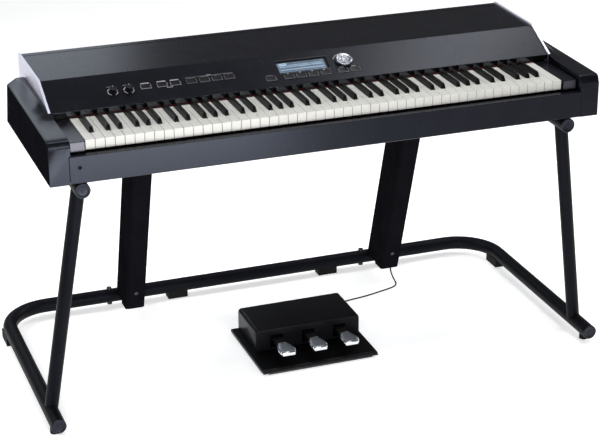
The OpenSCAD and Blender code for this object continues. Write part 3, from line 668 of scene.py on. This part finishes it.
def make_panel_print():
    s = Shape("panel_print")
    low, high = -0.02, 0.05
    for i, x in enumerate(HIGH_X):
        if i < 3:
            panel_box(s, x, ROW_HIGH + 11.4, 22, 3.0, low, high, "print")
        else:
            panel_box(s, x, ROW_HIGH + 11.6, 25, 0.8, low, high, "dim_print")
            panel_box(s, x, ROW_HIGH + 10.2, 1.2, 2.4, low, high, "print")
    panel_box(s, sum(HIGH_X[3:]) / 4, ROW_HIGH + 13.8, HIGH_X[6] - HIGH_X[3] + 26, 0.7, low, high, "dim_print")
    panel_box(s, HIGH_X[4] + 14, ROW_HIGH + 14.6, 12, 2.2, low, high, "print")
    panel_box(s, (HIGH_X[1] + HIGH_X[2]) / 2, ROW_HIGH - 11.4, 15, 1.8, low, high, "print")
    panel_box(s, LOW_X[0], ROW_LOW + 10.8, 19, 1.3, low, high, "dim_print")
    for x in LOW_X[1:5]:
        s.lathe([(0.1, low), (1.9, low), (1.9, high), (0.1, high)], "print", steps=20, centre=(x, ROW_LOW + 11.2, 0))
    for x in LOW_X[5:]:
        panel_box(s, x - 1, ROW_LOW + 11.2, 12, 1.7, low, high, "print")
    # Broken rings round the two knobs, each with a small label
    for x in KNOB_X:
        for a0, a1 in ((-70, -5), (10, 62), (118, 176), (188, 246)):
            arc(s, x, KNOB_U, 11.0, 13.0, a0, a1, low, high, "print")
        s.lathe([(0.1, low), (3.0, low), (3.0, high), (0.1, high)], "print", steps=20,
                centre=(x + 6.5, KNOB_U + 16.8, 0))
        panel_box(s, x - 5.5, KNOB_U + 17.6, 11, 2.0, low, high, "dim_print")
    # Short strokes above left of the dial
    for a in range(84, 152, 11):
        arc(s, DIAL[0], DIAL[1], 25.6, 28.4, a, a + 5, low, high, "print")
    # Hairlines above and below the display
    w, l = DISPLAY_SIZE[0] + 5, DISPLAY_SIZE[1] + 5
    for side in (-1, 1):
        panel_box(s, DISPLAY[0], DISPLAY[1] + side * l / 2, w, 0.35, low, 0.02, "dim_print")
    s.make(PANEL, angle=30)


def arc(s, x, u, r0, r1, a0, a1, z0, z1, key):
    """A flat piece of a ring between two radii and two angles in degrees."""
    steps = max(3, int(abs(a1 - a0) / 6))
    rings = []
    for k in range(steps + 1):
        a = math.radians(a0 + (a1 - a0) * k / steps)
        c, n = math.cos(a), math.sin(a)
        rings.append([(x + r0 * c, u + r0 * n, z0), (x + r1 * c, u + r1 * n, z0), (x + r1 * c, u + r1 * n, z1),
                      (x + r0 * c, u + r0 * n, z1)])
    s.loft(rings, key)


def make_knob(name, x):
    s = Shape("turning_" + name)
    flutes = lambda a, r, h: r - (0.35 if 1.2 < h < 11.5 and r > 8.5 else 0) * (1 + math.cos(a * 18)) / 2
    s.lathe([(9.3, 0.6), (9.5, 0.9), (9.5, 1.4), (9.1, 1.8), (9.0, 6), (8.9, 11.2), (8.7, 12.1), (8.1, 12.8),
             (6.6, 13.0), (5.5, 12.6), (0.4, 12.5)], "control", steps=108, centre=(x, KNOB_U, 0), wobble=flutes)
    s.lathe([(3.5, -13), (3.5, 0.6)], "steel", steps=24, centre=(x, KNOB_U, 0))
    panel_box(s, x, KNOB_U + 6.2, 1.0, 4.2, 12.4, 13.0, "print")
    s.make(PANEL, body=name, replaces=[name], angle=40)


def make_dial():
    s = Shape("turning_value_dial")
    x, u = DIAL
    flutes = lambda a, r, h: r - (0.55 if r > 20.5 and h < 8 else 0) * (1 + math.cos(a * 24)) / 2
    s.lathe([(21.2, 0.6), (22, 1.1), (22, 2.2), (21.6, 6.8), (21.2, 7.8), (20.4, 8.6), (19.2, 9.0), (18.0, 8.8),
             (16.5, 8.1), (13, 7.4), (8, 7.0), (3, 6.9), (0.4, 6.9)], "dial", steps=144, centre=(x, u, 0),
            wobble=flutes)
    # Finger dimple with a rim, and radial ridges on the face
    rings = []
    for r, h in ((5.9, 7.2), (5.6, 8.2), (4.8, 8.5), (4.3, 8.1), (3.2, 7.4), (1.6, 7.15), (0.2, 7.1)):
        rings.append([(x + 10.5 + r * math.cos(2 * math.pi * k / 40), u + 5.5 + r * math.sin(2 * math.pi * k / 40), h)
                      for k in range(40)])
    s.loft(rings, "dial")
    for k in range(24):
        a = 2 * math.pi * k / 24
        c, n = math.cos(a), math.sin(a)
        ring = lambda r, w, z: [(x + r * c - w * n, u + r * n + w * c, z - 0.8),
                                (x + r * c + w * n, u + r * n - w * c, z - 0.8), (x + r * c, u + r * n, z)]
        if abs(((math.degrees(a) - 28 + 180) % 360) - 180) > 24:
            s.loft([ring(4.5, 0.5, 7.5), ring(11, 0.9, 8.1), ring(17.2, 1.2, 8.9)], "dial")
    s.lathe([(4.5, -13), (4.5, 0.7)], "steel", steps=24, centre=(x, u, 0))
    s.make(PANEL, body="value_dial", replaces=["value_dial"], angle=35)


def make_display():
    s = Shape("display_screen")
    x, u = DISPLAY
    w, l = DISPLAY_SIZE
    panel_box(s, x, u, w + 8, l + 4, -11.5, -3.5, "socket")
    panel_box(s, x, u, w - 1.2, l - 1.2, -3.5, -2.45, "socket")
    panel_box(s, x - 2.5, u - 1.5, w - 9, l - 7, -2.45, -2.25, "screen")
    low, high = -2.25, -2.15
    left, top = x - w / 2 + 5, u + l / 2 - 7
    # Generic bars in place of writing
    panel_box(s, left + 12, top - 3.5, 19, 9, low, high, "screen_bright")
    panel_box(s, left + 12, top - 3.5, 11, 1.6, high, high + 0.05, "screen_dark")
    rng = random.Random(7)
    for row, (height, key) in enumerate(((4.0, "screen_dark"), (1.6, "screen_bright"), (2.4, "screen_bright"),
                                         (2.0, "screen_dark"), (2.4, "screen_bright"), (1.6, "screen_dark"))):
        at = left + (27 if row < 2 else 3)
        u0 = top - 2.5 - row * 5.0
        end = x + w / 2 - 12
        while at < end - 3:
            width = rng.uniform(1.6, 6)
            panel_box(s, at + width / 2, u0, min(width, end - at), height, low, high, key)
            at += width + rng.uniform(0.8, 2.6)
    s.make(PANEL, replaces=["display_module"], angle=30)


for i, x in enumerate(HIGH_X):
    make_button(i + 1, x, ROW_HIGH)
for i, x in enumerate(LOW_X):
    make_button(i + 8, x, ROW_LOW)
make_panel_print()
make_knob("knob_left", KNOB_X[0])
make_knob("knob_right", KNOB_X[1])
make_dial()
make_display()


# ---------- tube caps ----------
def make_caps():
    """Tube end caps: a raised rim round a dished disc with a small centre boss."""
    s = Shape("tube_end_caps")
    for side in (-1, 1):
        for x, y, z in ((FLOOR_X, 0, FLOOR_Z), (TOP_X, 11, TOP_Z)):
            face = [(0.3, -1.9), (3.0, -1.9), (3.6, -1.6), (4.2, -0.9), (12.6, -0.9), (13.6, -1.4), (14.2, -2.4),
                    (15.0, -2.9), (17.0, -2.9), (18.3, -2.3), (18.95, -1.3), (18.95, -0.1), (17.0, -0.1),
                    (17.0, 16), (0.3, 16)]
            s.lathe([(r, y + h) for r, h in face], "cap", steps=72, centre=(side * x, 0, z), axis="Y")
    s.make(floor_point, replaces=["tube_caps"], angle=35)


make_caps()


# ---------- pedal unit ----------
def arc_points(cx, cz, r, a0, a1, steps):
    return [(cx + r * math.cos(math.radians(a0 + (a1 - a0) * k / steps)),
             cz + r * math.sin(math.radians(a0 + (a1 - a0) * k / steps))) for k in range(steps + 1)]


BASE_SHIFT = -6
BASE_HALF, BASE_FRONT, BASE_REAR = 160, 128, 402
HOUSING_HALF, HOUSING_FRONT, HOUSING_REAR, HOUSING_TOP = 146, 247, 398, 73
MOUTH = (34, 14, 35)
ARM_HALF = 14
TIP_FRONT, TIP_REAR = 148.2, 210


def make_pedal_box():
    """A folded cover: front and rear edges tight, the two side edges softly rounded, and a mouth for each pedal."""
    s = Shape("pedal_box")
    half, y0, y1, z0, z1 = HOUSING_HALF, HOUSING_FRONT, HOUSING_REAR, 12, HOUSING_TOP
    r = 4.5
    outline = [(y0, z0), *arc_points(y0 + r, z1 - r, r, 180, 90, 5), *arc_points(y1 - r, z1 - r, r, 90, 0, 5),
               (y1, z0)]
    side_r = 9
    rings = []
    for t in range(7):
        a = math.radians(90 * t / 6)
        down, inset = side_r * (1 - math.sin(a)), 1.5 * (1 - math.sin(a))
        x = half - side_r + side_r * math.cos(a)
        rings.append([(x, y0 + inset + (y - y0) * (1 - 2 * inset / (y1 - y0)), z0 + (z - z0) * (1 - down / (z1 - z0)))
                      for y, z in outline])
    full = [[(-x, y, z) for x, y, z in ring] for ring in rings] + rings[::-1]
    n = len(outline)
    verts, faces = [p for ring in full for p in ring], []
    for q in range(len(full) - 1):
        for i in range(n - 1):
            faces.append((q * n + i, q * n + i + 1, (q + 1) * n + i + 1, (q + 1) * n + i))
    faces.append(tuple(range(n)))
    faces.append(tuple((len(full) - 1) * n + i for i in range(n)))
    s.add(verts, faces, "pedal_box")
    o = s.make(lambda x, y, z: floor_point(x + PEDAL_X, y, z), replaces=["pedal_housing"], angle=35)
    # The mouths, cut through the cover's wall
    knife_mesh = bpy.data.meshes.new("mouths")
    bm = bmesh.new()
    for k in (-1, 0, 1):
        made = bmesh.ops.create_cube(bm, size=1)["verts"]
        bmesh.ops.scale(bm, vec=[d * MM for d in MOUTH], verts=made)
        bmesh.ops.translate(bm, vec=floor_point(PEDAL_X + k * PEDAL_PITCH, y0 + 1.5, 35.5), verts=made)
    bm.to_mesh(knife_mesh)
    bm.free()
    knife = bpy.data.objects.new("mouths", knife_mesh)
    bpy.context.scene.collection.objects.link(knife)
    wall = o.modifiers.new("wall", "SOLIDIFY")
    wall.thickness = 3 * MM
    wall.offset = -1
    cut = o.modifiers.new("mouths", "BOOLEAN")
    cut.operation = "DIFFERENCE"
    cut.solver = "EXACT"
    cut.object = knife
    bpy.context.view_layer.update()
    done = bpy.data.meshes.new_from_object(o.evaluated_get(bpy.context.evaluated_depsgraph_get()))
    o.modifiers.clear()
    o.data = done
    bpy.data.objects.remove(knife)
    done.set_sharp_from_angle(angle=math.radians(35))


def make_pedal_base():
    """A folded steel plate. Its front edge turns down over a round stiffening bar."""
    s = Shape("pedal_base_plate")
    w, ya, yb = BASE_HALF, BASE_FRONT, BASE_REAR
    s.prism_x([(ya + 14, 3.2), (yb, 3.2), (yb, 11.4), (yb - 0.8, 12), (ya + 14, 12)], BASE_SHIFT - w, BASE_SHIFT + w,
              "pedal_base")
    # The front lip and the bar take the painted sheen copy of the plate's black.
    s.prism_x([(ya + 14, 6.2), (ya + 14, 12), (ya + 11, 11.9), (ya + 8, 11.4), (ya + 5.2, 10.4), (ya + 2.6, 8.9),
               (ya + 0.8, 7.1), (ya + 0.1, 5.4), (ya + 1.2, 4.6), (ya + 6, 5.8)], BASE_SHIFT - w, BASE_SHIFT + w,
              "pedal_front_sheen")
    bar = [(ya + 6 + 5.6 * math.cos(math.radians(a)), 5 + 4.9 * math.sin(math.radians(a))) for a in range(0, 360, 15)]
    s.prism_x(bar, BASE_SHIFT - w + 16, BASE_SHIFT + w - 16, "pedal_front_sheen")
    for x in (-135, 135):
        for y in (170, 380):
            s.lathe([(0.3, 0.05), (8.4, 0.05), (9, 0.6), (9, 8), (0.3, 8)], "rubber", steps=32,
                    centre=(BASE_SHIFT + x, y, 0))
    for side in (-1, 1):
        s.box((side * 122.5 - 2.5, 360, 12), (side * 122.5 + 2.5, 384, 56), "steel")
    s.make(lambda x, y, z: floor_point(x + PEDAL_X, y, z), replaces=["pedal_base"], bevel=0.5,
           segments=2, angle=35)


def make_gland():
    s = Shape("cable_gland")
    s.lathe([(4.9, 397), (4.9, 398.5), (4.2, 400), (3.2, 401), (2.7, 401.2), (2.3, 401.2), (2.2, 398)], "rubber",
            steps=32, centre=(125, 0, 22), axis="Y")
    s.make(floor_point, angle=35)


def pedal_outline(t):
    """Half width of a pedal's tip at t from its front, 0, to its neck, 1."""
    table = [(0.0, 17.0), (0.04, 19.8), (0.12, 22.2), (0.25, 23.4), (0.40, 23.2), (0.55, 21.6), (0.70, 18.8),
             (0.84, 15.6), (0.94, 13.4), (1.0, 12.2)]
    for (a, x), (b, y) in zip(table, table[1:]):
        if t <= b:
            return x + (y - x) * (t - a) / (b - a)
    return table[-1][1]


def make_pedal(name, k):
    place = lambda x, y, z: floor_point(x + PEDAL_X + k * PEDAL_PITCH, y, z)
    arm = Shape(name + "_arm")
    arm.prism_x([(198, 37), (198, 45.0), (206, 47), (384, 47), (386, 45), (386, 37), (384, 35), (204, 35)],
                -ARM_HALF, ARM_HALF, "pedal_arm")
    arm.make(place, body=name, bevel=1.5, segments=3)
    s = Shape(name + "_tip")
    y0, y1 = TIP_FRONT, TIP_REAR
    ts = [0, 0.02, 0.05, 0.09, 0.14, 0.2, 0.28, 0.38, 0.48, 0.58, 0.68, 0.78, 0.88, 0.95, 1.0]
    outline = [(pedal_outline(t), y0 + (y1 - y0) * t) for t in ts]
    cy = y0 + 0.42 * (y1 - y0)
    flat = outline + [(-x, y) for x, y in reversed(outline)]

    def ring(z, q):
        return [(x * q, cy + (y - cy) * (1 - (1 - q) * 0.75), z) for x, y in flat]

    # Chrome rim, a fine groove, and the satin face let into it
    s.loft([ring(z, q) for z, q in ((36.4, 0.90), (37.4, 0.98), (39.5, 1.0), (43.6, 1.0), (45.8, 0.985), (47.0, 0.95),
                                    (47.5, 0.92), (47.3, 0.895), (45.0, 0.885))], "chrome")
    s.loft([ring(z, q) for z, q in ((45.4, 0.89), (45.4, 0.80))], "socket", caps=False)
    s.loft([ring(z, q) for z, q in ((45.0, 0.825), (47.6, 0.82), (48.4, 0.80), (48.8, 0.75), (48.9, 0.4),
                                    (48.9, 0.05))], "satin_chrome")
    s.make(place, body=name, replaces=[name], angle=40)


make_pedal_box()
make_pedal_base()
make_gland()
for k, name in ((-1, "pedal_left"), (0, "pedal_middle"), (1, "pedal_right")):
    make_pedal(name, k)


# ---------- floor, light ----------
FLOOR_HALF = 14
FLOOR_GLOW = 0.62
WORLD_LIGHT = 0.12


def make_floor():
    """A pale floor that glows a little, so that it stays as pale as the photograph's ground."""
    mesh = bpy.data.meshes.new("floor")
    h = FLOOR_HALF
    mesh.from_pydata([(-h, -h, 0), (h, -h, 0), (h, h, 0), (-h, h, 0)], [], [(0, 1, 2, 3)])
    m, tree, b = new_material("studio_floor")
    noise = add(tree, "ShaderNodeTexNoise", Scale=3, Detail=3)
    tree.links.new(tree.nodes.new("ShaderNodeTexCoord").outputs["Object"], noise.inputs["Vector"])
    colour = ramp(tree, noise.outputs["Fac"], [(0.3, (0.90, 0.90, 0.90, 1)), (0.7, (0.92, 0.92, 0.92, 1))])
    tree.links.new(colour.outputs["Color"], b.inputs["Base Color"])
    tree.links.new(colour.outputs["Color"], b.inputs["Emission Color"])
    b.inputs["Emission Strength"].default_value = FLOOR_GLOW
    b.inputs["Roughness"].default_value = 0.9
    b.inputs["Specular IOR Level"].default_value = 0.1
    mesh.materials.append(m)
    floor = bpy.data.objects.new("floor", mesh)
    bpy.context.scene.collection.objects.link(floor)


def area(name, at, target, size, power, colour=(1, 1, 1), spread=180):
    """A rectangular light at a point, turned to a target. spread is in degrees."""
    data = bpy.data.lights.new(name, "AREA")
    data.spread = math.radians(spread)
    data.shape = "RECTANGLE"
    data.size, data.size_y = size
    data.energy = power
    data.color = colour
    o = bpy.data.objects.new(name, data)
    bpy.context.scene.collection.objects.link(o)
    at, target = Vector(at), Vector(target)
    o.matrix_world = Matrix.Translation(at) @ (target - at).to_track_quat("-Z", "Y").to_matrix().to_4x4()
    o.visible_camera = False


make_floor()
area("rear_high", (0.5, 2.6, 4.6), (0.5, 1.6, 0), (4.0, 1.4), 11, (0.90, 0.94, 1.0), spread=100)
area("front_top", (0.42, -0.9, 4.4), (0.42, -0.5, 0), (3.2, 0.9), 14.5, spread=65)
area("left_high", (-3.4, 1.0, 3.6), (0, 0.9, 0), (1.6, 2.4), 28, spread=100)
area("right_high", (4.6, 1.0, 3.6), (1.0, 1.2, 0), (1.6, 2.4), 38, spread=100)
area("panel_right", (2.0, 1.10, 4.1), (0.5, -0.1, 0.8), (0.5, 1.1), 2.1, spread=60)
area("rail_left", (-0.28, -1.95, 0.28), (-0.32, -0.35, 0.72), (1.35, 0.5), 10, spread=125)
area("edge_line", (0.1, -3.3, 1.25), (-0.3, -0.35, 0.74), (1.6, 0.16), 3, spread=60)
area("lid_left", (-0.86, 3.5, 2.0), (-0.60, 0.1, 0.78), (2.7, 0.7), 3.9, (0.82, 0.89, 1.0), spread=90)

world = bpy.data.worlds.new("studio")
world.use_nodes = True
background = world.node_tree.nodes["Background"]
background.inputs["Color"].default_value = (0.97, 0.98, 1.0, 1)
background.inputs["Strength"].default_value = WORLD_LIGHT
bpy.context.scene.world = world
bpy.context.scene.view_settings.view_transform = "Standard"
